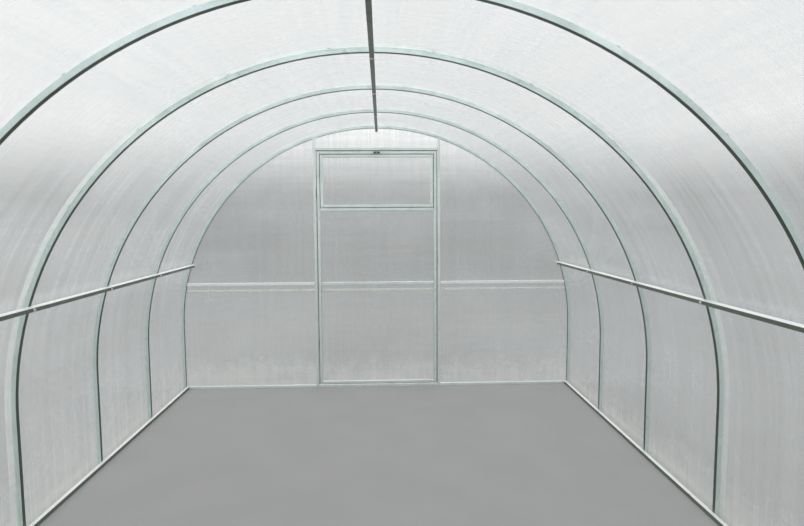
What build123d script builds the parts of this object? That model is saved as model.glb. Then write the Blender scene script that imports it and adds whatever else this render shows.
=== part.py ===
from build123d import *
import math
import os

# Arched greenhouse of square steel tube, clad in clear twin-wall polycarbonate sheet.
# Millimetres. X runs across, Y along the tunnel, Z up from the ground.
# The origin is on the ground in the middle of the plan. The back end is at +Y, left is at -X.

# Square tube of the frame
tube = 20.0
tube_wall = 1.5
tube_corner = 1.5

# Arches: straight legs under a half circle, measured to the outside of the tube
arch_radius = 1500.0
leg_height = 500.0
bay = 667.0
bays = 6

# Purlins lie inside the arches, one at the crown and one each side at this angle above the springing
side_purlin_angle = 18.0
seat_gap = 0.3

# Polycarbonate sheets
cover_thickness = 4.0
cover_overhang = 30.0
cover_joint_gap = 2.0
end_sheet_thickness = 4.0
end_sheet_edge_gap = 0.5
cover_strip_width = 80.0
cover_strip_thickness = 2.0

# Strips that join the lower and upper sheets of the end walls and doors, this far under the middle rails
strip_drop = 52.0
strip_height = 16.0
strip_flange = 1.0
strip_web = 2.0
strip_play = 0.2
strip_end_gap = 1.0

# Doorway in each end wall, measured to the centres of its tubes, with the lintel this far under the crown
post_offset = 470.0
lintel_drop = 174.0
end_rail_height = 810.0

# Door leaf
leaf_side_gap = 8.0
leaf_bottom_gap = 8.0
leaf_top_gap = 6.0

# Vent sash in the upper part of the leaf, over a rail whose centre is this far under the leaf's top
vent_rail_drop = 435.0
sash_gap = 5.0

# Door and vent hinges
hinge_length = 70.0
hinge_wing_width = 22.0
hinge_wing_thickness = 2.5
hinge_knuckle_radius = 5.0
hinge_pin_radius = 2.5
hinge_running_gap = 0.05
hinge_knuckle_gap = 0.5
hinge_clearance = 0.3
lower_hinge_height = 340.0
upper_hinge_drop = 312.0
vent_hinge_offset = 255.0
vent_hinge_length = 40.0

# Pull handle on the leaf and turn button that holds the vent
handle_height = 1000.0
handle_length = 140.0
handle_depth = 32.0
handle_foot_length = 28.0
handle_strap_width = 14.0
handle_strap_thickness = 3.0
catch_length = 46.0
catch_width = 12.0
catch_thickness = 3.0
catch_boss_radius = 5.0
catch_boss_height = 4.0

# Places worked out from the sizes above
half_tube = tube / 2
crown_height = leg_height + arch_radius
arch_centre_radius = arch_radius - half_tube
arch_inner_radius = arch_radius - tube
half_length = bay * bays / 2
end_face = half_length + half_tube
sheet_face = end_face + end_sheet_thickness
purlin_radius = arch_inner_radius - seat_gap - half_tube
strip_centre_height = end_rail_height - strip_drop
opening_half_width = post_offset - half_tube
lintel_height = crown_height - lintel_drop
lintel_underside = lintel_height - half_tube
leaf_half_width = opening_half_width - leaf_side_gap
leaf_bottom = tube + leaf_bottom_gap
leaf_top = lintel_underside - leaf_top_gap
stile_offset = leaf_half_width - half_tube
vent_rail_height = leaf_top - vent_rail_drop
upper_hinge_height = leaf_top - upper_hinge_drop
sash_half_width = leaf_half_width - tube - sash_gap
sash_bottom = vent_rail_height + half_tube + sash_gap
sash_top = leaf_top - tube - sash_gap
hinge_x = -(opening_half_width + leaf_half_width) / 2
hinge_y = sheet_face + hinge_knuckle_radius

parts = {}


def keep(name, *solids):
    """Files the solids of one named piece."""
    parts[name] = solids[0] if len(solids) == 1 else Compound(children=list(solids))


def tube_section():
    """Cross section of the square tube, with its rounded corners and its bore."""
    bore = tube - 2 * tube_wall
    return RectangleRounded(tube, tube, tube_corner) - Rectangle(bore, bore)


def along(sketch, start, finish, across):
    """Extrudes a sketch from one point to another, its own X axis pointing across."""
    run = Vector(*finish) - Vector(*start)
    return extrude(Plane(origin=start, x_dir=across, z_dir=run) * sketch, amount=run.length)


def straight_tube(start, finish, across=(0, 0, 1)):
    """Tube from one point to another, with one pair of its faces square to the across direction."""
    return along(tube_section(), start, finish, across)


def welded_frame(half_width, bottom, top, rail_heights):
    """Upright frame of tube in the back end's plane: two stiles with rails between them.

    The rails are let halfway into the stiles' walls, and their bores run on into the stiles' bores."""
    y = half_length
    stile = half_width - half_tube
    rail_end = half_width - tube + tube_wall / 2
    bore_end = rail_end + tube_wall
    outside = RectangleRounded(tube, tube, tube_corner)
    bore = Rectangle(tube - 2 * tube_wall, tube - 2 * tube_wall)
    stiles = [((side * stile, y, bottom), (side * stile, y, top)) for side in (-1, 1)]
    rails = [((-rail_end, y, z), (rail_end, y, z)) for z in rail_heights]
    bores = [((-bore_end, y, z), (bore_end, y, z)) for z in rail_heights]
    frame = along(outside, *stiles[0], (1, 0, 0)) + along(outside, *stiles[1], (1, 0, 0))
    for rail in rails:
        frame += along(outside, *rail, (0, 0, 1))
    for line in stiles:
        frame -= along(bore, *line, (1, 0, 0))
    for line in bores:
        frame -= along(bore, *line, (0, 0, 1))
    return frame


def centred_box(low, high):
    """Box between two opposite corners."""
    size = [b - a for a, b in zip(low, high)]
    middle = [(a + b) / 2 for a, b in zip(low, high)]
    return Pos(*middle) * Box(*size)


def arch_outline(radius):
    """Flat arch shape: a half circle on straight sides, in sketch coordinates with Z as the second."""
    sides = Pos(0, leg_height / 2) * Rectangle(2 * radius, leg_height)
    crown_zone = Pos(0, leg_height + radius / 2) * Rectangle(2 * radius, radius)
    crown = (Pos(0, leg_height) * Circle(radius)) & crown_zone
    return sides + crown


def upright_plate(sketch, outer_y, thickness):
    """Extrudes a sketch of the XZ plane into a plate whose outer face is at outer_y."""
    return Pos(0, outer_y, 0) * extrude(Plane.XZ * sketch, amount=thickness)


def curved_cover(inner_radius, thickness, y_low, y_high):
    """Sheet bent over the arches from ground to ground."""
    ring = arch_outline(inner_radius + thickness) - arch_outline(inner_radius)
    return upright_plate(ring, y_high, y_high - y_low)


def arch(y):
    """One bent arch, standing at y."""
    left_foot = (-arch_centre_radius, y, 0)
    left_spring = (-arch_centre_radius, y, leg_height)
    crown = (0, y, leg_height + arch_centre_radius)
    right_spring = (arch_centre_radius, y, leg_height)
    right_foot = (arch_centre_radius, y, 0)
    line = Wire([
        Edge.make_line(left_foot, left_spring),
        Edge.make_three_point_arc(left_spring, crown, right_spring),
        Edge.make_line(right_spring, right_foot),
    ])
    return sweep(Plane(origin=left_foot, x_dir=(1, 0, 0), z_dir=(0, 0, 1)) * tube_section(), path=line)


def make_arches():
    """The arches, from the front end to the back."""
    for index in range(bays + 1):
        keep(f"arch_{index + 1}", arch(index * bay - half_length))


def purlin(angle):
    """Long tube under the arches, turned to lie flat against them."""
    out = Vector(math.cos(math.radians(angle)), 0, math.sin(math.radians(angle)))
    centre = Vector(0, 0, leg_height) + out * purlin_radius
    start = (centre.X, -end_face, centre.Z)
    finish = (centre.X, end_face, centre.Z)
    return straight_tube(start, finish, across=(out.X, 0, out.Z))


def make_long_members():
    """Purlins and side base rails."""
    keep("ridge_purlin", purlin(90))
    keep("right_purlin", purlin(side_purlin_angle))
    keep("left_purlin", purlin(180 - side_purlin_angle))
    rail_x = arch_inner_radius - half_tube
    rail_half = half_length - half_tube
    for side, name in ((-1, "left"), (1, "right")):
        start = (side * rail_x, -rail_half, half_tube)
        finish = (side * rail_x, rail_half, half_tube)
        keep(f"{name}_base_rail", straight_tube(start, finish))


def make_cover():
    """The two cover sheets, which meet over the middle arch, and the strip over their joint."""
    inner = arch_radius + seat_gap
    cover_end = end_face + cover_overhang
    half_joint = cover_joint_gap / 2
    keep("front_cover_sheet", curved_cover(inner, cover_thickness, -cover_end, -half_joint))
    keep("back_cover_sheet", curved_cover(inner, cover_thickness, half_joint, cover_end))
    strip_inner = inner + cover_thickness + seat_gap
    half_strip = cover_strip_width / 2
    keep("cover_joint_strip", curved_cover(strip_inner, cover_strip_thickness, -half_strip, half_strip))


def joint_strip(x_low, x_high):
    """H-shaped strip whose two slots hold the edges of the sheets above and below it."""
    inner_y = end_face - strip_play - strip_flange
    outer_y = sheet_face + strip_play + strip_flange
    low = strip_centre_height - strip_height / 2
    high = strip_centre_height + strip_height / 2
    web_low = strip_centre_height - strip_web / 2
    web_high = strip_centre_height + strip_web / 2
    inner_flange = centred_box((x_low, inner_y, low), (x_high, inner_y + strip_flange, high))
    outer_flange = centred_box((x_low, outer_y - strip_flange, low), (x_high, outer_y, high))
    web = centred_box((x_low, inner_y, web_low), (x_high, outer_y, web_high))
    return inner_flange + outer_flange + web


def split_sheet(outline, x_low, x_high, bottom, top):
    """The lower and upper sheets cut from one outline, held apart by the joint strip's web."""
    seam = strip_web / 2 + strip_play
    middle = (x_low + x_high) / 2
    sheets = []
    for low, high in ((bottom, strip_centre_height - seam), (strip_centre_height + seam, top)):
        band = Pos(middle, (low + high) / 2) * Rectangle(x_high - x_low, high - low)
        sheets.append(upright_plate(outline & band, sheet_face, end_sheet_thickness))
    return sheets


def hinge(length, running):
    """Butterfly hinge about the Z axis: the fixed half with its pin, and the moving half.

    The wings lie against the plane y = -hinge_knuckle_radius, the fixed one towards -X."""
    third = length / 3
    wing_y = -hinge_knuckle_radius
    wing_top = wing_y + hinge_wing_thickness
    pin = Cylinder(hinge_pin_radius, length)
    barrel = Cylinder(hinge_knuckle_radius, length)
    middle_zone = Box(4 * hinge_knuckle_radius, 4 * hinge_knuckle_radius, third)
    moving_zone = Box(4 * hinge_knuckle_radius, 4 * hinge_knuckle_radius, third - 2 * hinge_knuckle_gap)
    reach = hinge_knuckle_radius + hinge_clearance
    half = length / 2
    fixed_wing = centred_box((-hinge_wing_width, wing_y, -half), (-reach, wing_top, half))
    moving_wing = centred_box((reach, wing_y, -half), (hinge_wing_width, wing_top, half))
    link_half = third / 2 - hinge_knuckle_gap
    moving_link = centred_box((0, wing_y, -link_half), (reach, wing_top, link_half))
    fixed_links = centred_box((-reach, wing_y, -half), (0, wing_top, half)) - middle_zone
    bore = Cylinder(hinge_pin_radius + running, length)
    fixed = fixed_wing + fixed_links + (barrel - middle_zone) + pin
    moving = moving_wing + ((barrel & moving_zone) + moving_link) - bore
    return fixed, moving


def vent_hinges():
    """Two closed hinges across the gap under the vent sash."""
    height = vent_rail_height + half_tube + sash_gap / 2
    hinges = []
    for side in (-1, 1):
        fixed, moving = hinge(vent_hinge_length, 0.0)
        both = Pos(0, hinge_y, 0) * (fixed + moving)
        hinges.append(Pos(side * vent_hinge_offset, 0, height) * Rot(0, -90, 0) * both)
    return hinges


def pull_handle():
    """Bent strap handle on the outside of the leaf's free stile, with a foot at each end."""
    half_width = handle_strap_width / 2
    half_grip = handle_length / 2
    half_reach = half_grip + handle_foot_length
    thick = handle_strap_thickness
    grip = centred_box((-half_width, 0, -half_grip), (half_width, handle_depth, half_grip))
    hollow_high = (half_width, handle_depth - thick, half_grip - thick)
    grip -= centred_box((-half_width, 0, -half_grip + thick), hollow_high)
    feet = centred_box((-half_width, 0, -half_reach), (half_width, thick, half_reach))
    feet -= centred_box((-half_width, 0, -half_grip + thick), (half_width, thick, half_grip - thick))
    return Pos(stile_offset, sheet_face, handle_height) * (grip + feet)


def vent_catch():
    """Turn button on the inside of the leaf's top rail, with its round boss."""
    face = half_length - half_tube
    height = leaf_top - half_tube
    button = centred_box(
        (-catch_length / 2, face - catch_thickness, height - catch_width / 2),
        (catch_length / 2, face, height + catch_width / 2),
    )
    boss = Rot(90, 0, 0) * Cylinder(catch_boss_radius, catch_boss_height)
    return button + Pos(0, face - catch_thickness - catch_boss_height / 2, height) * boss


def end_wall_pieces():
    """Fixed pieces of the back end wall, by name."""
    y = half_length
    pieces = {}
    top = crown_height
    edge = opening_half_width
    outer_post_face = post_offset + half_tube
    under_arch = upright_plate(arch_outline(arch_inner_radius - seat_gap), end_face + tube, 3 * tube)
    rail_reach = arch_inner_reach(end_rail_height + half_tube)
    posts = []
    rails = []
    for side in (-1, 1):
        post = straight_tube((side * post_offset, y, tube), (side * post_offset, y, top), (1, 0, 0))
        posts.append(post & under_arch)
        inner_end = (side * outer_post_face, y, end_rail_height)
        rails.append(straight_tube(inner_end, (side * rail_reach, y, end_rail_height)))
    pieces["door_posts"] = posts
    pieces["wall_rails"] = rails
    pieces["lintel"] = [straight_tube((-edge, y, lintel_height), (edge, y, lintel_height))]
    left_corner = (-arch_inner_radius, y, half_tube)
    right_corner = (arch_inner_radius, y, half_tube)
    pieces["base_rail"] = [straight_tube(left_corner, right_corner)]

    outline = arch_outline(arch_radius - end_sheet_edge_gap)
    pieces["left_sheet"] = split_sheet(outline, -arch_radius, -edge, 0.0, top)
    pieces["right_sheet"] = split_sheet(outline, edge, arch_radius, 0.0, top)
    top_width = 2 * (edge - end_sheet_edge_gap)
    over_door = Pos(0, (lintel_underside + top) / 2) * Rectangle(top_width, top - lintel_underside)
    pieces["top_sheet"] = [upright_plate(outline & over_door, sheet_face, end_sheet_thickness)]
    strip_low = outer_post_face + strip_end_gap
    strip_high = arch_inner_reach(strip_centre_height + strip_height / 2) - strip_end_gap
    pieces["joint_strips"] = [joint_strip(-strip_high, -strip_low), joint_strip(strip_low, strip_high)]
    return pieces


def arch_inner_reach(height):
    """Half the clear width between an arch's inner faces at a height, less the seat gap."""
    rise = max(0.0, height - leg_height)
    return math.sqrt(arch_inner_radius**2 - rise**2) - seat_gap


def door_pieces():
    """Pieces of the back door, which hangs on the left post, by name."""
    head_rail = leaf_top - half_tube
    leaf_rails = (leaf_bottom + half_tube, end_rail_height, vent_rail_height, head_rail)
    sash_rails = (sash_bottom + half_tube, sash_top - half_tube)
    pieces = {
        "door_frame": [welded_frame(leaf_half_width, leaf_bottom, leaf_top, leaf_rails)],
        "vent_frame": [welded_frame(sash_half_width, sash_bottom, sash_top, sash_rails)],
    }
    panel_top = vent_rail_height + half_tube
    panel = Pos(0, (leaf_bottom + panel_top) / 2) * Rectangle(2 * leaf_half_width, panel_top - leaf_bottom)
    pieces["door_sheet"] = split_sheet(panel, -leaf_half_width, leaf_half_width, leaf_bottom, panel_top)
    strip_reach = leaf_half_width - tube - strip_end_gap
    pieces["door_joint_strip"] = [joint_strip(-strip_reach, strip_reach)]
    pane = Pos(0, (sash_bottom + sash_top) / 2) * Rectangle(2 * sash_half_width, sash_top - sash_bottom)
    pieces["vent_pane"] = [upright_plate(pane, sheet_face, end_sheet_thickness)]
    pieces["vent_fittings"] = vent_hinges() + [vent_catch()]
    pieces["door_handle"] = [pull_handle()]
    return pieces


def make_ends():
    """Both end walls with their doors: the front one is the back one turned half round."""
    pieces = end_wall_pieces()
    pieces.update(door_pieces())
    pieces["hinge_posts"] = []
    pieces["hinge_leaves"] = []
    for height in (lower_hinge_height, upper_hinge_height):
        fixed, moving = hinge(hinge_length, hinge_running_gap)
        place = Pos(hinge_x, hinge_y, height)
        pieces["hinge_posts"].append(place * fixed)
        pieces["hinge_leaves"].append(place * moving)
    swapped = {"left_sheet": "right_sheet", "right_sheet": "left_sheet"}
    half_turn = Rot(0, 0, 180)
    for name, solids in pieces.items():
        keep(f"back_{name}", *solids)
        keep(f"front_{swapped.get(name, name)}", *[half_turn * solid for solid in solids])


make_arches()
make_long_members()
make_cover()
make_ends()

os.makedirs("parts", exist_ok=True)
for name, shape in parts.items():
    export_step(shape, f"parts/{name}.step")
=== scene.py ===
"""Looks of an arched greenhouse of square tube and clear twin-wall sheet, built around its CAD frame."""

import logging
import math
from dataclasses import dataclass
from enum import Enum
from typing import Callable, Iterable, Optional, Sequence, Union

import bpy
from mathutils import Matrix, Vector


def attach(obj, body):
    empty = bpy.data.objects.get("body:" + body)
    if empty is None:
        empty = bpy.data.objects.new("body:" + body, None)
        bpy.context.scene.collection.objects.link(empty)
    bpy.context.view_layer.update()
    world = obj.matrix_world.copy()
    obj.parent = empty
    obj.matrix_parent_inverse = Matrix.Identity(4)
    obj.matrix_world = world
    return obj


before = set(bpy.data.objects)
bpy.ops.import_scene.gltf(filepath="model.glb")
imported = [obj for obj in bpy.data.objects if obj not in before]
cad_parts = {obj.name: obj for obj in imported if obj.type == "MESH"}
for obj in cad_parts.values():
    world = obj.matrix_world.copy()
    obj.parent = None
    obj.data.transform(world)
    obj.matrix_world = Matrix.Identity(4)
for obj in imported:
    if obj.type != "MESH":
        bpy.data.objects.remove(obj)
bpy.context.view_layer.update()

log = logging.getLogger("greenhouse")

SIDES = (-1, 1)
GOLDEN_TURN = 2.39996
NEAR = 1e-6
Colour = tuple[float, float, float]
Point = Sequence[float]
Piece = bpy.types.Object
Socket = bpy.types.NodeSocket
Amount = Union[float, Socket]
Inputs = dict[Union[str, int], Union[Amount, Sequence[float]]]


class Body(Enum):
    """The three bodies of the frame."""

    HOUSE = "greenhouse"
    FRONT_DOOR = "front_door"
    BACK_DOOR = "back_door"


class End(Enum):
    """The two end walls, each with its turn about Z from the back end's place."""

    BACK = 0.0
    FRONT = math.pi

    @property
    def label(self) -> str:
        """Name that the end's pieces start with."""
        return self.name.lower()

    @property
    def door(self) -> Body:
        """Body of the door in this end."""
        return Body.BACK_DOOR if self is End.BACK else Body.FRONT_DOOR

    @property
    def turn(self) -> Matrix:
        """Turn that takes a place on the back end to the same place on this one."""
        return Matrix.Rotation(self.value, 4, "Z")


class RibAxis(Enum):
    """The axis along which a sheet's ribs follow one another."""

    ACROSS = "X"
    ALONG = "Y"


# Finishes


@dataclass(frozen=True)
class Pattern:
    """Noise pattern, and the stretch of its values that shows.

    Its scale is features for each metre, its detail the number of finer layers and rough their weight.
    On a sheet it is stretched by across from rib to rib and by along down the ribs.
    """

    scale: float
    detail: float
    rough: float
    low: float
    high: float
    across: float = 1.0
    along: float = 1.0


class NodeBoard:
    """Node tree of one finish or of the world, with short calls for the nodes that they share."""

    def __init__(self, owner: Union[bpy.types.Material, bpy.types.World]) -> None:
        """Starts from an empty tree.

        Args:
            owner: the material or world that the nodes belong to.
        """
        self.owner = owner
        self.owner.use_nodes = True
        self.tree = self.owner.node_tree
        self.tree.nodes.clear()

    def put(self, socket: Socket, value: Union[Amount, Sequence[float]]) -> None:
        """Links a socket to another, or gives it a plain value.

        Args:
            socket: the input that is set.
            value: an output socket, a number or a row of numbers.
        """
        if isinstance(value, bpy.types.NodeSocket):
            self.tree.links.new(value, socket)
        elif isinstance(value, (tuple, list)) and len(value) == 3 and socket.type == "RGBA":
            socket.default_value = (*value, 1.0)
        else:
            socket.default_value = value

    def add(self, kind: str, inputs: Inputs, **settings: object) -> bpy.types.Node:
        """Adds a node.

        Args:
            kind: what follows ShaderNode in Blender's name of the node type.
            inputs: values or sockets for its inputs, by name or place.
            **settings: properties of the node itself.

        Returns:
            The new node.
        """
        node = self.tree.nodes.new(f"ShaderNode{kind}")
        for key, value in settings.items():
            setattr(node, key, value)
        for key, value in inputs.items():
            self.put(node.inputs[key], value)
        return node

    def places(self) -> Socket:
        """Object coordinates of the shaded point, in metres."""
        return self.add("TexCoord", {}).outputs["Object"]

    def stretched(self, scale: Sequence[float]) -> Socket:
        """Object coordinates stretched by a scale along each axis."""
        return self.add("Mapping", {"Vector": self.places(), "Scale": scale}).outputs["Vector"]

    def noise(self, vector: Socket, scale: float, detail: float = 2.0, rough: float = 0.5) -> Socket:
        """Noise in 0 to 1, by its features for each metre, its finer layers and their weight."""
        inputs = {"Vector": vector, "Scale": scale, "Detail": detail, "Roughness": rough}
        return self.add("TexNoise", inputs).outputs["Fac"]

    def span(self, value: Amount, low: float, high: float, first: float = 0.0, last: float = 1.0) -> Socket:
        """Moves a value from one range into another, with smooth ends and nothing outside."""
        inputs = {"Value": value, "From Min": low, "From Max": high, "To Min": first, "To Max": last}
        return self.add("MapRange", inputs, interpolation_type="SMOOTHSTEP").outputs["Result"]

    def pattern(self, pattern: Pattern, vector: Socket, top: float = 1.0) -> Socket:
        """Noise pattern on some coordinates, from 0 where it doesn't show to top."""
        noise = self.noise(vector, pattern.scale, pattern.detail, pattern.rough)
        return self.span(noise, pattern.low, pattern.high, 0.0, top)

    def combine(self, operation: str, first: Amount, second: Amount, clamp: bool = False) -> Socket:
        """Joins two values by one of Blender's math operations, kept in 0 to 1 if clamp is set."""
        return self.add("Math", {0: first, 1: second}, operation=operation, use_clamp=clamp).outputs[0]

    def plus(self, first: Amount, second: Amount, clamp: bool = False) -> Socket:
        """Sum of two values."""
        return self.combine("ADD", first, second, clamp)

    def times(self, first: Amount, second: Amount) -> Socket:
        """Product of two values."""
        return self.combine("MULTIPLY", first, second)

    def blend(self, share: Amount, first: Union[Socket, Colour], second: Union[Socket, Colour]) -> Socket:
        """Colour between two others, 0 for the first and 1 for the second."""
        return self.add("Mix", {0: share, 6: first, 7: second}, data_type="RGBA").outputs[2]

    def bump(self, height: Socket, depth: float) -> Socket:
        """Normal that a height map gives, where a height of 1 is so many metres."""
        return self.add("Bump", {"Height": height, "Distance": depth}).outputs["Normal"]

    def shade(self, kind: str, inputs: Inputs) -> Socket:
        """Adds a shader and gives its output."""
        return self.add(kind, inputs).outputs[0]

    def mix_shaders(self, share: Amount, first: Socket, second: Socket) -> Socket:
        """Shader between two others, 0 for the first and 1 for the second."""
        return self.shade("MixShader", {0: share, 1: first, 2: second})

    def seen(self) -> Socket:
        """Tells what the camera sees from what only lights the scene.

        Returns:
            1 where the camera looks, directly, by a reflection or through glass, and 0 elsewhere.
        """
        rays = self.add("LightPath", {}).outputs
        direct = self.combine("MAXIMUM", rays["Is Camera Ray"], rays["Is Glossy Ray"])
        return self.combine("MAXIMUM", direct, rays["Is Transmission Ray"])

    def finish(self, surface: Socket, output: str = "OutputMaterial") -> bpy.types.ID:
        """Links the surface to the output and gives the finished material or world."""
        self.add(output, {"Surface": surface})
        return self.owner


@dataclass(frozen=True)
class GalvanisedSteel:
    """Zinc-coated steel with faint spangle, a dull oxide bloom, dirt, and painted shade on its inner faces.
    """

    name: str
    bright: Colour
    dull: Colour
    rough_low: float = 0.30
    rough_high: float = 0.52
    metallic: float = 0.92
    spangle: float = 90.0
    spangle_low: float = 0.1
    spangle_high: float = 0.7
    spangle_share: float = 0.20
    bloom: Pattern = Pattern(7.0, 4.0, 0.6, 0.38, 0.66)
    bloom_share: float = 0.72
    bloom_height: float = 2.0
    dirt: Pattern = Pattern(34.0, 5.0, 0.65, 0.56, 0.74)
    dirt_share: float = 0.30
    dirt_colour: Colour = (0.26, 0.275, 0.26)
    patch_wear: float = 0.8
    most_wear: float = 1.4
    grain: float = 900.0
    grain_depth: float = 0.00006
    # Painted shade on the faces turned towards the tunnel's axis: its share, its dark green-grey colour, and
    # the facing range over which it fades.
    stained: float = 0.0
    stain: Colour = (0.058, 0.085, 0.055)
    stain_full: float = -0.85
    stain_end: float = -0.45
    axis_height: float = 0.5

    def drip_stain(self, board: NodeBoard, places: Socket) -> Socket:
        """Painted shade: a dark green-grey on the faces turned towards the tunnel's axis, standing in for
        the dark ground that they reflect.

        Args:
            board: the finish's nodes.
            places: object coordinates.

        Returns:
            Share of the painted shade in 0 to 1.
        """
        split = board.add("SeparateXYZ", {0: places})
        rise = board.combine("MAXIMUM", board.combine("SUBTRACT", split.outputs["Z"], self.axis_height), 0.0)
        spoke = board.add("CombineXYZ", {"X": split.outputs["X"], "Z": rise}).outputs[0]
        out = board.add("VectorMath", {0: spoke}, operation="NORMALIZE").outputs["Vector"]
        normal = board.add("TexCoord", {}).outputs["Normal"]
        turned = board.add("VectorMath", {0: out, 1: normal}, operation="DOT_PRODUCT").outputs["Value"]
        return board.span(turned, self.stain_full, self.stain_end, self.stained, 0.0)

    def build(self) -> bpy.types.Material:
        """Makes the material.

        Returns:
            The material.
        """
        board = NodeBoard(bpy.data.materials.new(self.name))
        places = board.places()
        cells = board.add("TexVoronoi", {"Vector": places, "Scale": self.spangle})
        flakes = board.span(cells.outputs["Distance"], self.spangle_low, self.spangle_high)
        clouds = board.pattern(self.bloom, places)
        dirt = board.pattern(self.dirt, places)
        bloom = board.times(clouds, self.bloom_share)
        patchy = board.plus(bloom, board.times(flakes, self.spangle_share), True)
        base = board.blend(patchy, self.bright, self.dull)
        colour = board.blend(board.times(dirt, self.dirt_share), base, self.dirt_colour)
        # Painted shade: faces turned towards the tunnel's axis are darkened towards a dark green-grey.
        if self.stained > 0:
            colour = board.blend(self.drip_stain(board, places), colour, self.stain)
        wear = board.plus(board.times(patchy, self.patch_wear), dirt)
        height = board.plus(board.noise(places, self.grain), board.times(clouds, self.bloom_height))
        inputs = {
            "Base Color": colour,
            "Metallic": self.metallic,
            "Roughness": board.span(wear, 0.0, self.most_wear, self.rough_low, self.rough_high),
            "Normal": board.bump(height, self.grain_depth),
        }
        return board.finish(board.shade("BsdfPrincipled", inputs))


@dataclass(frozen=True)
class TwinWallSheet:
    """Clear twin-wall polycarbonate: fine ribs, drawn streaks, a film of dust and a gloss at flat angles."""

    name: str
    ribs: RibAxis
    rib_pitch: float = 0.0057
    rib_edge: float = 0.66
    rib_core: float = 0.96
    tint: Colour = (0.994, 0.997, 0.997)
    veil: Colour = (0.925, 0.94, 0.948)
    glow: Colour = (0.965, 0.975, 0.975)
    skin: Colour = (0.88, 0.895, 0.89)
    soil: Colour = (0.62, 0.58, 0.50)
    skin_share: float = 0.30
    smear: Pattern = Pattern(1.0, 2.0, 0.55, 0.36, 0.66, across=0.35, along=2.6)
    thread: Pattern = Pattern(1.0, 2.0, 0.6, 0.36, 0.70, across=1.1, along=26.0)
    drawn: Pattern = Pattern(1.0, 2.5, 0.72, 0.34, 0.68, across=34.0, along=0.35)
    clouds: Pattern = Pattern(1.3, 2.0, 0.6, 0.40, 0.66)
    haze: float = 0.05
    rib_haze: float = 0.16
    drawn_haze: float = 0.12
    smear_haze: float = 0.12
    thread_haze: float = 0.05
    cloud_haze: float = 0.05
    splash_haze: float = 0.30
    splash_foot: float = -0.12
    splash_height: float = 0.16
    splash_scale: float = 9.0
    splash_ragged: float = 0.25
    drawn_veil: float = 0.25
    drawn_height: float = 0.6
    relief: float = 0.00022
    lamp_share: float = 0.90
    gloss: Colour = (0.92, 0.94, 0.94)
    gloss_rough: float = 0.05
    gloss_dull: float = 0.08
    gloss_least: float = 0.04
    gloss_edge: float = 0.38
    gloss_power: float = 3.0

    def streaks(self, board: NodeBoard, pattern: Pattern) -> Socket:
        """Pattern stretched by its own rates across and along the ribs."""
        scale = [pattern.across if axis == self.ribs.value else pattern.along for axis in "XYZ"]
        return board.pattern(pattern, board.stretched(scale))

    def build(self) -> bpy.types.Material:
        """Makes the material.

        Returns:
            The material.
        """
        board = NodeBoard(bpy.data.materials.new(self.name))
        split = board.add("SeparateXYZ", {0: board.places()})
        step = board.times(split.outputs[self.ribs.value], 1.0 / self.rib_pitch)
        wave = board.times(board.combine("PINGPONG", step, 0.5), 2.0)
        rib = board.span(wave, self.rib_edge, self.rib_core)
        streaky = (self.smear, self.thread, self.drawn)
        smear, thread, drawn = (self.streaks(board, pattern) for pattern in streaky)
        clouds = board.pattern(self.clouds, board.places())
        ragged = board.times(board.noise(board.places(), self.splash_scale), self.splash_ragged)
        low = board.combine("SUBTRACT", split.outputs["Z"], ragged)
        splash = board.span(low, self.splash_foot, self.splash_height, 1.0, 0.0)

        haze: Amount = self.haze
        for mask, weight in (
            (rib, self.rib_haze),
            (smear, self.smear_haze),
            (thread, self.thread_haze),
            (drawn, self.drawn_haze),
            (clouds, self.cloud_haze),
            (splash, self.splash_haze),
        ):
            haze = board.plus(haze, board.times(mask, weight), True)
        veil = board.plus(board.times(smear, thread), board.times(drawn, self.drawn_veil), True)
        clear = board.shade("BsdfTransparent", {"Color": board.blend(veil, self.tint, self.veil)})
        glow = board.shade("BsdfTranslucent", {"Color": self.glow})
        skin = board.shade("BsdfDiffuse", {"Color": board.blend(splash, self.skin, self.soil)})
        sheet = board.mix_shaders(haze, clear, board.mix_shaders(self.skin_share, glow, skin))

        facing = board.add("LayerWeight", {"Blend": 0.5}).outputs["Facing"]
        edge = board.times(board.combine("POWER", facing, self.gloss_power), self.gloss_edge)
        gloss_inputs = {
            "Color": self.gloss,
            "Roughness": board.span(clouds, 0.0, 1.0, self.gloss_rough, self.gloss_rough + self.gloss_dull),
            "Normal": board.bump(board.plus(wave, board.times(drawn, self.drawn_height)), self.relief),
        }
        gloss = board.shade("BsdfGlossy", gloss_inputs)
        seen = board.mix_shaders(board.plus(edge, self.gloss_least, True), sheet, gloss)
        let_through = board.shade("BsdfTransparent", {"Color": (self.lamp_share,) * 3})
        path = board.add("LightPath", {})
        for ray in ("Is Diffuse Ray", "Is Shadow Ray"):
            seen = board.mix_shaders(path.outputs[ray], seen, let_through)
        return board.finish(seen)


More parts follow.
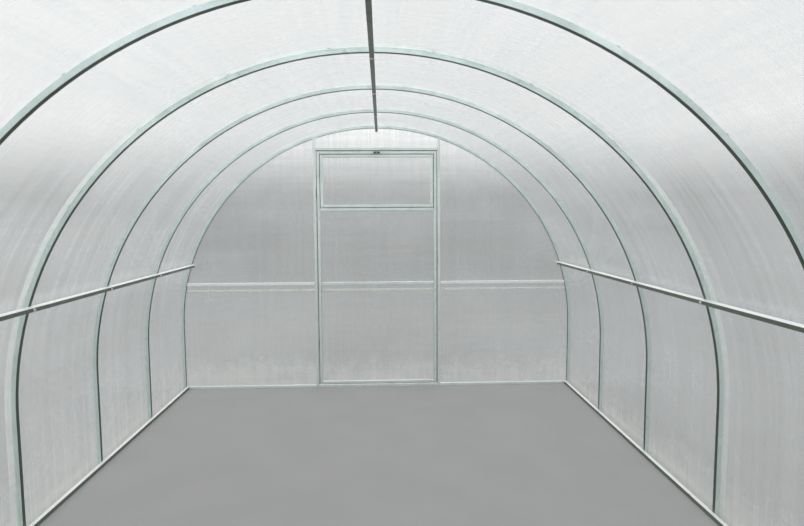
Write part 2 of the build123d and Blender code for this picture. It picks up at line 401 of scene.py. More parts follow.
@dataclass(frozen=True)
class MilkyProfile:
    """Extruded milky plastic of the strips that join two sheets."""

    name: str
    colour: Colour = (0.98, 0.98, 0.96)
    stain: Colour = (0.90, 0.90, 0.86)
    through: float = 0.08
    glowing: float = 0.62
    clear: Colour = (0.96, 0.98, 0.96)
    stains: Pattern = Pattern(11.0, 5.0, 0.65, 0.50, 0.74)
    most_stain: float = 0.7
    rough: float = 0.34
    stained_rough: float = 0.6
    grain: float = 420.0
    grain_depth: float = 0.00005

    def build(self) -> bpy.types.Material:
        """Makes the material.

        Returns:
            The material.
        """
        board = NodeBoard(bpy.data.materials.new(self.name))
        places = board.places()
        stains = board.pattern(self.stains, places, self.most_stain)
        colour = board.blend(stains, self.colour, self.stain)
        body_inputs = {
            "Base Color": colour,
            "Roughness": board.span(stains, 0.0, self.most_stain, self.rough, self.stained_rough),
            "Normal": board.bump(board.noise(places, self.grain), self.grain_depth),
        }
        body = board.shade("BsdfPrincipled", body_inputs)
        glow = board.shade("BsdfTranslucent", {"Color": colour})
        clear = board.shade("BsdfTransparent", {"Color": self.clear})
        solid = board.mix_shaders(self.glowing, body, glow)
        return board.finish(board.mix_shaders(1.0 - self.through, clear, solid))


@dataclass(frozen=True)
class DullCoating:
    """Opaque coating or moulded plastic with a fine grain and rubbed patches."""

    name: str
    colour: Colour
    rubbed: Colour
    rough: float = 0.55
    rubbed_gloss: float = 0.12
    wear: Pattern = Pattern(45.0, 4.0, 0.6, 0.50, 0.72)
    grain: float = 600.0
    grain_depth: float = 0.00005

    def build(self) -> bpy.types.Material:
        """Makes the material.

        Returns:
            The material.
        """
        board = NodeBoard(bpy.data.materials.new(self.name))
        places = board.places()
        wear = board.pattern(self.wear, places)
        inputs = {
            "Base Color": board.blend(wear, self.colour, self.rubbed),
            "Roughness": board.span(wear, 0.0, 1.0, self.rough, self.rough - self.rubbed_gloss),
            "Normal": board.bump(board.noise(places, self.grain), self.grain_depth),
        }
        return board.finish(board.shade("BsdfPrincipled", inputs))


@dataclass(frozen=True)
class StudioFloor:
    """Plain pale floor that fades into the backdrop's colour with distance."""

    name: str
    colour: Colour
    far_colour: Colour
    mottle: Pattern = Pattern(3.0, 4.0, 0.5, 0.35, 0.65)
    shade: float = 0.97
    fade_start: float = 5.0
    fade_end: float = 11.0

    def build(self) -> bpy.types.Material:
        """Makes the material.

        Returns:
            The material.
        """
        board = NodeBoard(bpy.data.materials.new(self.name))
        places = board.places()
        shade = tuple(part * self.shade for part in self.colour)
        colour = board.blend(board.pattern(self.mottle, places), self.colour, shade)
        matt = board.shade("BsdfDiffuse", {"Color": colour, "Roughness": 0.5})
        distance = board.add("VectorMath", {0: places}, operation="LENGTH").outputs["Value"]
        fade = board.span(distance, self.fade_start, self.fade_end)
        far = board.shade("Emission", {"Color": self.far_colour, "Strength": 1.0})
        return board.finish(board.mix_shaders(board.times(fade, board.seen()), matt, far))


class Finishes:
    """Every finish of the greenhouse, made once."""

    def __init__(self) -> None:
        """Makes the materials."""
        # The tube finishes below carry painted shade, a dark green-grey on the faces turned towards the
        # tunnel's axis, at the share given last.
        self.tube = GalvanisedSteel(
            "galvanised_tube", (0.70, 0.80, 0.78), (0.57, 0.67, 0.65), metallic=0.65, stained=0.93
        ).build()
        # Painted light: the purlins and the base and wall rails get a paler, less metallic copy of the
        # galvanised tube, standing in for the light on their lit faces.
        self.purlin = GalvanisedSteel(
            "bright_purlin_tube", (0.94, 0.95, 0.93), (0.88, 0.90, 0.88), metallic=0.20, stained=0.88
        ).build()
        self.door_tube = GalvanisedSteel(
            "galvanised_door_tube", (0.80, 0.87, 0.84), (0.69, 0.76, 0.73), metallic=0.45, stained=0.8
        ).build()
        self.zinc = GalvanisedSteel(
            "zinc_fittings",
            (0.66, 0.68, 0.68),
            (0.42, 0.44, 0.43),
            rough_low=0.22,
            rough_high=0.42,
            spangle=240.0,
        ).build()
        self.cover = TwinWallSheet("twin_wall_cover", RibAxis.ALONG).build()
        self.end = TwinWallSheet(
            "twin_wall_end_sheet", RibAxis.ACROSS, haze=0.02, rib_haze=0.07, drawn_haze=0.05, smear_haze=0.07
        ).build()
        self.profile = MilkyProfile("milky_joint_profile").build()
        self.clear_strip = MilkyProfile(
            "clear_cover_strip", (0.97, 0.98, 0.98), (0.86, 0.87, 0.84), through=0.50, glowing=0.80
        ).build()
        self.moulding = DullCoating("black_moulding", (0.045, 0.047, 0.045), (0.11, 0.11, 0.105)).build()
        self.rubber = DullCoating("rubber_seal", (0.10, 0.105, 0.10), (0.15, 0.155, 0.15), rough=0.7).build()
        self.wire = DullCoating("painted_wire", (0.90, 0.89, 0.86), (0.72, 0.70, 0.65)).build()


# Bench


def deselect() -> None:
    """Leaves edit mode and deselects everything."""
    if bpy.context.object is not None and bpy.context.object.mode != "OBJECT":
        bpy.ops.object.mode_set(mode="OBJECT")
    bpy.ops.object.select_all(action="DESELECT")


def activate(piece: Piece) -> None:
    """Leaves edit mode and selects one piece alone.

    Args:
        piece: the piece.
    """
    deselect()
    piece.select_set(True)
    bpy.context.view_layer.objects.active = piece


def named(name: str) -> Piece:
    """Gives the active piece its name, on the object and its mesh."""
    bpy.context.object.name = bpy.context.object.data.name = name
    return bpy.context.object


def start(name: str, add: Callable[..., set], scale: Point = (1.0, 1.0, 1.0), **options: object) -> Piece:
    """Starts a piece from a primitive, with its place and scale put in its mesh.

    Args:
        name: name of the piece.
        add: operator that adds the primitive.
        scale: scale along each axis.
        **options: the operator's own options.

    Returns:
        The new piece.
    """
    deselect()
    add(**options)
    bpy.context.object.scale = scale
    bpy.ops.object.transform_apply(location=True, rotation=True, scale=True)
    return named(name)


def cylinder(name: str, sides: int, radius: float, height: float) -> Piece:
    """Starts a cylinder that stands on the origin, of a radius over its corners."""
    options = {"vertices": sides, "radius": radius, "depth": height, "location": (0, 0, height / 2)}
    return start(name, bpy.ops.mesh.primitive_cylinder_add, **options)


def block(name: str, extent: Point, centre: Point) -> Piece:
    """Starts a block of a length along each axis."""
    return start(name, bpy.ops.mesh.primitive_cube_add, extent, size=1.0, location=centre)


def pick_faces(piece: Piece, wanted: Callable[[bpy.types.MeshPolygon], bool]) -> None:
    """Enters edit mode with only the wanted faces selected.

    Args:
        piece: the piece to edit.
        wanted: test of one face.
    """
    if piece.mode != "OBJECT":
        bpy.ops.object.mode_set(mode="OBJECT")
    bpy.context.tool_settings.mesh_select_mode = (False, False, True)
    for parts in (piece.data.vertices, piece.data.edges):
        parts.foreach_set("select", [False] * len(parts))
    for face in piece.data.polygons:
        face.select = wanted(face)
    bpy.ops.object.mode_set(mode="EDIT")


def pick_top(piece: Piece) -> None:
    """Enters edit mode with only the faces at the very top selected."""
    top = max(face.center.z for face in piece.data.polygons)
    pick_faces(piece, lambda face: face.center.z > top - NEAR and face.normal.z > 0.9)


def raise_faces(rise: float, inset: float = 0.0, taper: float = 1.0) -> None:
    """Insets the selected faces, then extrudes them along Z.

    Args:
        rise: how far they move up, or down if negative.
        inset: width of the rim left round them.
        taper: scale of the faces after the move.
    """
    if inset > 0:
        bpy.ops.mesh.inset(thickness=inset)
    bpy.ops.mesh.extrude_region_move(TRANSFORM_OT_translate={"value": (0, 0, rise)})
    if taper != 1.0:
        bpy.ops.transform.resize(value=(taper, taper, 1.0), center_override=(0, 0, 0))


def bend(steps: int, degrees: float, x: float = 0.0) -> None:
    """Spins the selected face about an axis along Y, then merges doubles and turns every face outwards.

    Args:
        steps: number of steps in the spin.
        degrees: its angle.
        x: place of the axis along X.
    """
    bpy.ops.mesh.spin(steps=steps, angle=math.radians(degrees), center=(x, 0, 0), axis=(0, 1, 0))
    bpy.ops.mesh.select_all(action="SELECT")
    bpy.ops.mesh.remove_doubles(threshold=NEAR)
    bpy.ops.mesh.normals_make_consistent(inside=False)
    deselect()


def bevel(piece: Piece, width: float, angle: float, segments: int = 1) -> None:
    """Rounds the piece's sharp edges with an applied bevel.

    Args:
        piece: the piece.
        width: width of the bevel.
        angle: least angle in degrees of the edges that it rounds.
        segments: steps in it.
    """
    activate(piece)
    modifier = piece.modifiers.new("bevel", "BEVEL")
    modifier.width = width
    modifier.segments = segments
    modifier.limit_method = "ANGLE"
    modifier.angle_limit = math.radians(angle)
    bpy.ops.object.modifier_apply(modifier=modifier.name)


def move(piece: Piece, place: Matrix) -> Piece:
    """Moves the piece's mesh to a place, and leaves its object at the origin."""
    piece.data.transform(place)
    return piece


def join(pieces: Sequence[Piece], name: str) -> Piece:
    """Joins pieces into one.

    Args:
        pieces: the pieces.
        name: name of the whole.

    Returns:
        The joined piece.
    """
    activate(pieces[0])
    for piece in pieces:
        piece.select_set(True)
    if len(pieces) > 1:
        bpy.ops.object.join()
    return named(name)


def lay_out(master: Piece, places: Iterable[Matrix], name: str) -> Piece:
    """Copies a master to many places, each with its own mesh, and joins the copies.

    Args:
        master: the piece modelled once at the origin, which is removed.
        places: where each copy goes.
        name: name of the joined piece.

    Returns:
        The joined piece.
    """
    copies = []
    for place in places:
        copy = master.copy()
        copy.data = master.data.copy()
        bpy.context.scene.collection.objects.link(copy)
        copies.append(move(copy, place))
    bpy.data.objects.remove(master)
    return join(copies, name)


def standing(point: Point, outward: Point, spin: float = 0.0) -> Matrix:
    """Place of a piece whose own Z points outward from a point, turned about it by a spin in radians."""
    turn = Vector(outward).to_track_quat("Z", "Y").to_matrix().to_4x4()
    return Matrix.Translation(Vector(point)) @ turn @ Matrix.Rotation(spin, 4, "Z")


def scattered(seats: Iterable[tuple[Point, Point]]) -> list[Matrix]:
    """Places for fasteners at points with outward directions, each with a turn that looks unplanned."""
    return [standing(point, out, index * GOLDEN_TURN % math.tau) for index, (point, out) in enumerate(seats)]


# Fittings


@dataclass
class Fitting:
    """Small piece that is modelled once at the origin, then copied to its places."""

    finish: bpy.types.Material
    smooth_below: float = 30.0

    def shape(self) -> Piece:
        """Models the bare piece."""
        raise NotImplementedError

    def make(self) -> Piece:
        """Models the piece, shades it and gives it its finish.

        Returns:
            The master piece.
        """
        piece = self.shape()
        activate(piece)
        bpy.ops.object.shade_smooth_by_angle(angle=math.radians(self.smooth_below))
        piece.data.materials.append(self.finish)
        return piece


@dataclass
class FlangeScrew(Fitting):
    """Self-drilling screw with a pressed washer head, low and domed, with a recess."""

    smooth_below: float = 50.0
    flange_radius: float = 0.0058
    flange_height: float = 0.0007
    dome_height: float = 0.0013
    sides: int = 16
    rim: float = 0.24
    shoulder: float = 0.55
    crown: float = 0.72
    recess_rim: float = 0.16
    recess: float = 0.7

    def shape(self) -> Piece:
        """Models one screw head, seated at the origin.

        Returns:
            The bare head.
        """
        piece = cylinder("screw_master", self.sides, self.flange_radius, self.flange_height)
        pick_top(piece)
        raise_faces(self.dome_height * self.shoulder, inset=self.flange_radius * self.rim)
        raise_faces(self.dome_height * (1.0 - self.shoulder), taper=self.crown)
        raise_faces(-self.dome_height * self.recess, self.flange_radius * self.recess_rim, self.recess)
        return piece


@dataclass
class HexBolt(Fitting):
    """Hexagon bolt head on a plain washer."""

    across_flats: float = 0.013
    head_height: float = 0.0052
    chamfer: float = 0.0004
    dish: float = 0.0003
    dish_rim: float = 0.0012
    crown: float = 0.9
    dish_foot: float = 0.95
    edge: float = 0.00035
    washer_radius: float = 0.0088
    washer_height: float = 0.0016
    washer_edge: float = 0.0003
    washer_sides: int = 24

    def shape(self) -> Piece:
        """Models one bolt head on its washer, seated at the origin.

        Returns:
            The bare head and washer.
        """
        washer = cylinder("bolt_washer", self.washer_sides, self.washer_radius, self.washer_height)
        bevel(washer, self.washer_edge, angle=60.0)
        head = cylinder("bolt_head", 6, self.across_flats / math.sqrt(3), self.head_height)
        pick_top(head)
        raise_faces(self.chamfer, taper=self.crown)
        raise_faces(-self.dish, self.dish_rim, self.dish_foot)
        bevel(head, self.edge, angle=35.0)
        move(head, Matrix.Translation((0, 0, self.washer_height)))
        return join([washer, head], "bolt_master")


@dataclass
class WeldBead(Fitting):
    """Bead of weld round the end of a square tube where it meets another."""

    smooth_below: float = 80.0
    tube: float = 0.020
    radius: float = 0.0013
    bite: float = 0.2
    ripple: float = 0.00022
    cuts: int = 4

    def shape(self) -> Piece:
        """Models one bead as a square loop in the XY plane, round the origin.

        Returns:
            The bare bead.
        """
        corner = (self.tube / 2 + self.radius * self.bite) * math.sqrt(2)
        options = {"major_radius": corner, "minor_radius": self.radius, "major_segments": 4}
        piece = start("bead_master", bpy.ops.mesh.primitive_torus_add, minor_segments=6, **options)
        move(piece, Matrix.Rotation(math.pi / 4, 4, "Z"))
        pick_faces(piece, lambda face: True)
        bpy.ops.mesh.subdivide(number_cuts=self.cuts)
        bpy.ops.transform.vertex_random(offset=self.ripple, seed=11)
        return piece


@dataclass
class FootBead(Fitting):
    """Upright bead of weld in the corner between an arch's foot and the base rail."""

    smooth_below: float = 80.0
    height: float = 0.018
    radius: float = 0.0013
    ripple: float = 0.0003
    cuts: int = 5

    def shape(self) -> Piece:
        """Models one bead, standing on the origin.

        Returns:
            The bare bead.
        """
        piece = cylinder("foot_bead_master", 8, self.radius, self.height)
        pick_faces(piece, lambda face: abs(face.normal.z) < 0.5)
        bpy.ops.mesh.subdivide(number_cuts=self.cuts)
        bpy.ops.transform.vertex_random(offset=self.ripple, seed=5)
        return piece


@dataclass
class TubePlug(Fitting):
    """Black plug in the open end of a square tube, with a low bevelled head; its black is partly painted
    shade for the dark top corners of the door frames.
    """

    width: float = 0.0186
    height: float = 0.0024
    straight: float = 0.6
    crown: float = 0.86
    sink: float = 0.15
    edge: float = 0.0004
    rim: float = 0.16

    def shape(self) -> Piece:
        """Models one plug's head, seated at the origin.

        Returns:
            The bare head.
        """
        piece = cylinder("plug_master", 4, self.width / math.sqrt(2), self.height * self.straight)
        move(piece, Matrix.Rotation(math.pi / 4, 4, "Z"))
        pick_top(piece)
        raise_faces(self.height * (1.0 - self.straight), taper=self.crown)
        raise_faces(-self.height * self.sink, self.width * self.rim)
        bevel(piece, self.edge, angle=50.0)
        return piece


@dataclass
class ButtonCover(Fitting):
    """Moulded cover of the turn button, with a round thumb knob near each end."""

    smooth_below: float = 40.0
    length: float = 0.0470
    width: float = 0.0128
    thickness: float = 0.0036
    rim: float = 0.0011
    sink: float = 0.0006
    edge: float = 0.0007
    knob_radius: float = 0.0052
    knob_height: float = 0.0030
    knob_sides: int = 20
    knob_straight: float = 0.6
    knob_taper: float = 0.78
    knob_rim: float = 0.0012
    knob_crown: float = 0.0004
    crown_taper: float = 0.8
    knob_reach: float = 0.0140

    def shape(self) -> Piece:
        """Models the cover, seated at the origin with its length along X.

        Returns:
            The bare cover.
        """
        extent = (self.length, self.width, self.thickness)
        plate = block("button_plate", extent, (0, 0, self.thickness / 2))
        pick_top(plate)
        raise_faces(-self.sink, inset=self.rim)
        bevel(plate, self.edge, angle=50.0, segments=2)
        pieces = [plate]
        for side in SIDES:
            straight = self.knob_height * self.knob_straight
            knob = cylinder("button_knob", self.knob_sides, self.knob_radius, straight)
            pick_top(knob)
            raise_faces(self.knob_height - straight, taper=self.knob_taper)
            raise_faces(self.knob_crown, self.knob_rim, self.crown_taper)
            deselect()
            place = Matrix.Translation((side * self.knob_reach, 0, self.thickness - self.edge))
            pieces.append(move(knob, place))
        return join(pieces, "button_master")


@dataclass(kw_only=True)
class SealRing(Fitting):
    """Rubber seal round an upright frame, with its outer edges rounded like a bulb."""

    half_width: float
    bottom: float
    top: float
    y: float
    width: float
    smooth_below: float = 60.0
    depth: float = 0.010
    bulb: float = 0.0016

    def shape(self) -> Piece:
        """Models the ring at its place in the back end.

        Returns:
            The bare ring.
        """
        height = self.top - self.bottom
        extent = (2 * self.half_width, self.depth, height)
        ring = block("seal_ring", extent, (0, self.y, self.bottom + height / 2))
        pick_faces(ring, lambda face: abs(face.normal.y) > 0.9)
        bpy.ops.mesh.inset(thickness=self.width)
        bpy.ops.mesh.bridge_edge_loops()
        bevel(ring, self.bulb, angle=60.0, segments=2)
        return ring


@dataclass
class WireHook(Fitting):
    """Painted wire with an eye at its top and a crescent hook at its foot."""

    smooth_below: float = 60.0
    wire: float = 0.0026
    eye_radius: float = 0.0050
    eye_turn: float = 320.0
    drop: float = 0.130
    crescent_radius: float = 0.0180
    crescent_thickness: float = 0.0060
    horn_share: float = 0.30
    sides: int = 8
    eye_steps: int = 14
    crescent_steps: int = 18

    def disc(self, name: str, radius: float, x: float = 0.0) -> Piece:
        """Starts a rod as a disc, with its face selected in edit mode.

        Args:
            name: name of the piece.
            radius: radius of the rod.
            x: place of its middle along X.

        Returns:
            The new piece.
        """
        options = {"vertices": self.sides, "radius": radius, "fill_type": "NGON", "location": (x, 0, 0)}
        piece = start(name, bpy.ops.mesh.primitive_circle_add, **options)
        pick_faces(piece, lambda face: True)
        return piece

    def shank(self) -> Piece:
        """Straight wire with an eye bent at its top, hanging down from the origin.

        Returns:
            The wire.
        """
        piece = self.disc("hook_shank", self.wire)
        raise_faces(-self.drop)
        pick_faces(piece, lambda face: face.center.z > -NEAR)
        bend(self.eye_steps, self.eye_turn, self.eye_radius)
        return piece

    def crescent(self) -> Piece:
        """Crescent with its horns up, thickest in the middle, round the origin.

        Returns:
            The crescent.
        """
        piece = self.disc("hook_crescent", self.crescent_thickness, -self.crescent_radius)
        bend(self.crescent_steps, degrees=-180.0)
        for vertex in piece.data.vertices:
            along = math.atan2(-vertex.co.z, abs(vertex.co.x))
            full = self.horn_share + (1.0 - self.horn_share) * max(0.0, math.sin(max(along, 0.0)))
            middle = Vector((vertex.co.x, 0.0, vertex.co.z)).normalized() * self.crescent_radius
            vertex.co = middle + (vertex.co - middle) * full
        return piece

    def shape(self) -> Piece:
        """Models the hook, hanging from its eye at the origin.

        Returns:
            The bare hook.
        """
        shank = self.shank()
        crescent = move(self.crescent(), Matrix.Translation((0, 0, self.crescent_radius - self.drop)))
        return join([shank, crescent], "hook_master")


# Sub-assemblies


@dataclass
class Assembly:
    """What the sub-assemblies share. Those of an end are laid out for the back one and turned to theirs."""

    finishes: Finishes
    end: Optional[End] = None
    tube: float = 0.020
    sheet: float = 0.004
    leg: float = 0.500
    arch_outside: float = 1.500
    bay: float = 0.667
    bays: int = 6
    post_x: float = 0.470
    rail_z: float = 0.810
    lintel_z: float = 1.826

    @property
    def end_y(self) -> float:
        """Place along Y of the back end's arch and tubes."""
        return self.bays / 2 * self.bay

    @property
    def face_y(self) -> float:
        """Place along Y of the back end's outer sheet face."""
        return self.end_y + self.tube / 2 + self.sheet

    def full_name(self, name: str) -> str:
        """Name with its end's label before it, where there is an end."""
        return f"{self.end.label}_{name}" if self.end else name

    def face_screws(self, points: Iterable[tuple[float, float]]) -> list[Matrix]:
        """Places of screws on the end's outer sheet face, from their X and Z."""
        return scattered(((x, self.face_y, z), (0, 1, 0)) for x, z in points)

    def dress(self, finish: bpy.types.Material, *names: str) -> None:
        """Puts a finish in every material slot of some CAD nodes.

        Args:
            finish: the material.
            *names: the nodes, without their end's label.
        """
        for name in map(self.full_name, names):
            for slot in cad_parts[name].material_slots:
                slot.material = finish
            log.info("%s dressed in %s", name, finish.name)

    def fasten(
        self, master: Piece, seats: list[Matrix], name: str, slot: str = "fittings", body: Body = Body.HOUSE
    ) -> None:
        """Lays copies of a master out as one piece and sets it on a body.

        Args:
            master: the piece modelled once at the origin.
            seats: where each copy goes.
            name: name of the joined piece, without its end's label.
            slot: not used.
            body: the body that carries it.
        """
        turn = self.end.turn if self.end else Matrix()
        piece = lay_out(master, [turn @ seat for seat in seats], self.full_name(name))
        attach(piece, body.value)
        log.info("%s on %s, %d faces", piece.name, body.value, len(piece.data.polygons))


@dataclass
class Tunnel(Assembly):
    """Arches, purlins and the bent cover."""

    seat: float = 0.0003
    strip: float = 0.002
    purlin_angle: float = 18.0
    screw_step: float = 16.0
    screw_start: float = 0.5
    screw_shift: float = 3.5
    strip_edge: float = 6.0
    cover_edge: float = 2.0
    leg_screws: tuple[float, ...] = (0.10, 0.36)

    @property
    def middle(self) -> int:
        """Number of the arch under the cover's joint, counted from the front."""
        return self.bays // 2

    def arch_y(self, index: int) -> float:
        """Place along Y of an arch, counted from the front."""
        return (index - self.bays / 2) * self.bay

    def round_arch(self, radius: float, degrees: float, y: float) -> tuple[Vector, Vector]:
        """Point and outward direction at a radius of the arch and an angle up from its right springing."""
        out = Vector((math.cos(math.radians(degrees)), 0.0, math.sin(math.radians(degrees))))
        return Vector((0.0, y, self.leg)) + out * radius, out

    def screw_angles(self, index: int) -> list[float]:
        """Angles of the cover's screws on an arch, where each row starts a little further round.

        Args:
            index: number of the arch.

        Returns:
            The angles in degrees.
        """
        first = self.screw_start + (index - self.middle) * self.screw_shift % self.screw_step
        angles = [first + self.screw_step * step for step in range(int(180 / self.screw_step) + 1)]
        edge = self.strip_edge if index == self.middle else self.cover_edge
        return [angle for angle in angles if edge < angle < 180 - edge]

    def cover_screws(self) -> None:
        """Screws that hold the cover, and the strip over its joint, to the arches."""
        seats = []
        for index in range(self.bays + 1):
            y = self.arch_y(index)
            radius = self.arch_outside + self.seat + self.sheet
            heights = self.leg_screws
            if index == self.middle:
                radius += self.seat + self.strip
                heights = ()
            seats += [self.round_arch(radius, angle, y) for angle in self.screw_angles(index)]
            seats += [((side * radius, y, height), (side, 0, 0)) for height in heights for side in SIDES]
        self.fasten(FlangeScrew(self.finishes.zinc).make(), scattered(seats), "cover_screws")

    def purlin_bolts(self) -> None:
        """Bolts through the purlins into the arches, their heads on the purlins' inner faces."""
        seats = []
        inner = self.arch_outside - 2 * self.tube - self.seat
        for index in range(self.bays + 1):
            for angle in (self.purlin_angle, 90.0, 180.0 - self.purlin_angle):
                point, out = self.round_arch(inner, angle, self.arch_y(index))
                seats.append((point, -out))
        self.fasten(HexBolt(self.finishes.zinc).make(), scattered(seats), "purlin_bolts")

    def foot_welds(self) -> None:
        """Welds where the arches' feet stand against the side base rails."""
        bead = FootBead(self.finishes.zinc)
        x = self.arch_outside - self.tube
        z = (self.tube - bead.height) / 2
        places = []
        for index in range(1, self.bays):
            faces = [self.arch_y(index) + step * self.tube / 2 for step in SIDES]
            places += [Matrix.Translation((side * x, y, z)) for side in SIDES for y in faces]
        self.fasten(bead.make(), places, "foot_welds", "frame_tube")

    def build(self) -> None:
        """Dresses the tunnel's CAD nodes and adds its fasteners."""
        self.dress(self.finishes.tube, *(f"arch_{index + 1}" for index in range(self.bays + 1)))
        self.dress(self.finishes.purlin, "ridge_purlin", "left_purlin", "right_purlin")
        self.dress(self.finishes.purlin, "left_base_rail", "right_base_rail")
        self.dress(self.finishes.cover, "front_cover_sheet", "back_cover_sheet")
        self.dress(self.finishes.clear_strip, "cover_joint_strip")
        self.cover_screws()
        self.purlin_bolts()
        self.foot_welds()


@dataclass
class EndWall(Assembly):
    """Fixed part of one end wall: posts, lintel, rails and sheets."""

    screw_step: float = 15.0
    sheet_lap: float = 0.003
    leg_screws: tuple[float, ...] = (0.06, 0.30)
    post_screws: tuple[float, ...] = (0.07, 0.56, 0.94, 1.22, 1.66)
    rail_screws: tuple[float, ...] = (0.72, 0.98, 1.24)
    foot_screws: tuple[float, ...] = (0.72, 1.02, 1.32)
    lintel_screw: float = 0.24

    def screw_points(self) -> list[tuple[float, float]]:
        """Places of the sheet screws on the back wall's face.

        Returns:
            Each screw's X and Z.
        """
        arch_line = self.arch_outside - self.tube / 2
        points = []
        for step in range(int(180 / self.screw_step) + 1):
            angle = math.radians(step * self.screw_step)
            points.append((math.cos(angle) * arch_line, self.leg + math.sin(angle) * arch_line))
        for side in SIDES:
            points += [(side * arch_line, height) for height in self.leg_screws]
            points += [(side * (self.post_x + self.sheet_lap), height) for height in self.post_screws]
            points += [(side * x, self.rail_z) for x in self.rail_screws]
            points += [(side * x, self.tube / 2) for x in self.foot_screws]
            points.append((side * self.lintel_screw, self.lintel_z))
        points.append((0.0, self.lintel_z))
        return points

    def welds(self) -> None:
        """Weld beads round the tube ends of the posts, the lintel and the rails."""
        places = []
        for side in SIDES:
            inner = side * (self.post_x - self.tube / 2)
            outer = side * (self.post_x + self.tube / 2)
            places.append(standing((inner, self.end_y, self.lintel_z), (side, 0, 0)))
            places.append(standing((outer, self.end_y, self.rail_z), (side, 0, 0)))
            places.append(standing((side * self.post_x, self.end_y, self.tube), (0, 0, 1)))
        self.fasten(WeldBead(self.finishes.zinc).make(), places, "wall_welds", "frame_tube")

    def build(self) -> None:
        """Dresses the wall's CAD nodes and adds its screws and welds."""
        self.dress(self.finishes.door_tube, "door_posts", "base_rail", "lintel")
        self.dress(self.finishes.purlin, "wall_rails")
        self.dress(self.finishes.end, "left_sheet", "right_sheet", "top_sheet")
        self.dress(self.finishes.profile, "joint_strips")
        self.dress(self.finishes.zinc, "hinge_posts")
        screws = self.face_screws(self.screw_points())
        self.fasten(FlangeScrew(self.finishes.zinc).make(), screws, "wall_screws")
        self.welds()


